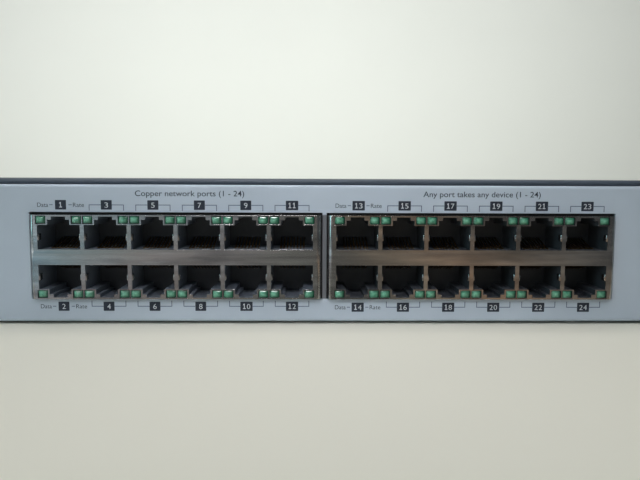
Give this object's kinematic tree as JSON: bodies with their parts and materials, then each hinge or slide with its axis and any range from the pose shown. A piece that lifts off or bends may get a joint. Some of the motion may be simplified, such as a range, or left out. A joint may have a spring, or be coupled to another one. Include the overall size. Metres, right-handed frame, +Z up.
{
  "type": "network switch",
  "caption": "Flat desktop network switch in a sheet-steel case, with two ganged blocks of network sockets in the front, lamps and push buttons, side fans and a mains inlet.",
  "frame": {"origin": "centre of the outline, on the surface that the feet stand on", "axes": "+X to the right seen from the front, +Y from the front to the rear, +Z up"},
  "size_m": [0.4424, 0.2394, 0.0444],
  "materials": {
    "panel_paint": "fine satin powder paint, light blue-grey",
    "cover_paint": "fine satin powder paint, dark slate",
    "zinc_steel": "zinc-plated sheet, satin",
    "screw_steel": "zinc-plated, satin",
    "standoff_brass": "machined",
    "rivet_steel": "satin",
    "foot_rubber": "matte",
    "circuit_board": "solder mask over woven laminate",
    "tin_plate": "tin plate, half bright",
    "jack_plastic": "moulded, satin",
    "gold_plate": "gold plate",
    "lens_green": "tinted translucent, polished",
    "chip_plastic": "moulded epoxy",
    "sink_aluminium": "anodised",
    "capacitor_sleeve": "shrink sleeve",
    "can_steel": "nickel plate",
    "white_nylon": "moulded",
    "wire_insulation": "extruded vinyl",
    "ferrite": "ground ferrite",
    "winding_tape": "yellow tape over copper",
    "fuse_cover": "moulded",
    "insulating_sheet": "film",
    "inlet_plastic": "moulded, fine grain",
    "blade_metal": "nickel-plated brass",
    "fan_plastic": "moulded, glass filled",
    "button_plastic": "moulded, satin",
    "switch_plastic": "moulded",
    "lamp_plastic": "tinted translucent epoxy"
  },
  "bodies": {
    "case": {"ac_inlet": "inlet_plastic", "board_capacitors": "capacitor_sleeve", "board_headers": "white_nylon", "board_magnetics": "chip_plastic", "board_screws": "screw_steel", "board_standoffs": "standoff_brass", "chassis_base": "zinc_steel", "chip_heat_sinks": "sink_aluminium", "clock_crystals": "can_steel", "control_board": "circuit_board", "cover_screws_rear": "screw_steel", "cover_screws_side": "screw_steel", "dc_harness": "wire_insulation", "fan_frame_front": "fan_plastic", "fan_frame_rear": "fan_plastic", "fan_leads": "wire_insulation", "fan_screws": "screw_steel", "front_panel": "panel_paint", "ground_screw": "screw_steel", "inlet_blades": "blade_metal", "inlet_leads": "wire_insulation", "inlet_screws": "screw_steel", "jack_contacts_left": "gold_plate", "jack_contacts_right": "gold_plate", "jack_housing_left": "jack_plastic", "jack_housing_right": "jack_plastic", "jack_inserts_left": "jack_plastic", "jack_inserts_right": "jack_plastic", "jack_lenses_left": "lens_green", "jack_lenses_right": "lens_green", "jack_shield_left": "tin_plate", "jack_shield_right": "tin_plate", "lamp_holder": "chip_plastic", "main_board": "circuit_board", "memory_chips": "chip_plastic", "mode_switch": "switch_plastic", "panel_rivets": "rivet_steel", "psu_board": "circuit_board", "psu_capacitors": "capacitor_sleeve", "psu_choke": "ferrite", "psu_fuse": "fuse_cover", "psu_heat_sinks": "sink_aluminium", "psu_input_header": "white_nylon", "psu_insulator": "insulating_sheet", "psu_power_devices": "chip_plastic", "psu_transformer_core": "ferrite", "psu_transformer_winding": "winding_tape", "reset_switch": "switch_plastic", "rubber_feet": "foot_rubber", "status_lamps": "lamp_plastic", "switch_chips": "chip_plastic", "top_cover": "cover_paint"},
    "mode_button": {"mode_button": "button_plastic", "mode_plunger": "button_plastic"},
    "reset_button": {"reset_button": "button_plastic", "reset_plunger": "button_plastic"},
    "fan_front": {"fan_rotor_front": "fan_plastic"},
    "fan_rear": {"fan_rotor_rear": "fan_plastic"}
  },
  "joints": [
    {"name": "mode_button_press", "type": "slide", "parent": "case", "child": "mode_button", "axis": [0, 1, 0], "range_m": [0, 0.0009], "stiffness_N_per_m": 900, "springref_m": -0.0008},
    {"name": "reset_button_press", "type": "slide", "parent": "case", "child": "reset_button", "axis": [0, 1, 0], "range_m": [0, 0.0007], "stiffness_N_per_m": 900, "springref_m": -0.0008},
    {"name": "fan_front_spin", "type": "hinge", "parent": "case", "child": "fan_front", "pos_m": [-0.20925, -0.036, 0.0217], "axis": [-1, 0, 0], "continuous": true},
    {"name": "fan_rear_spin", "type": "hinge", "parent": "case", "child": "fan_rear", "pos_m": [-0.20925, 0.01, 0.0217], "axis": [-1, 0, 0], "continuous": true}
  ]
}
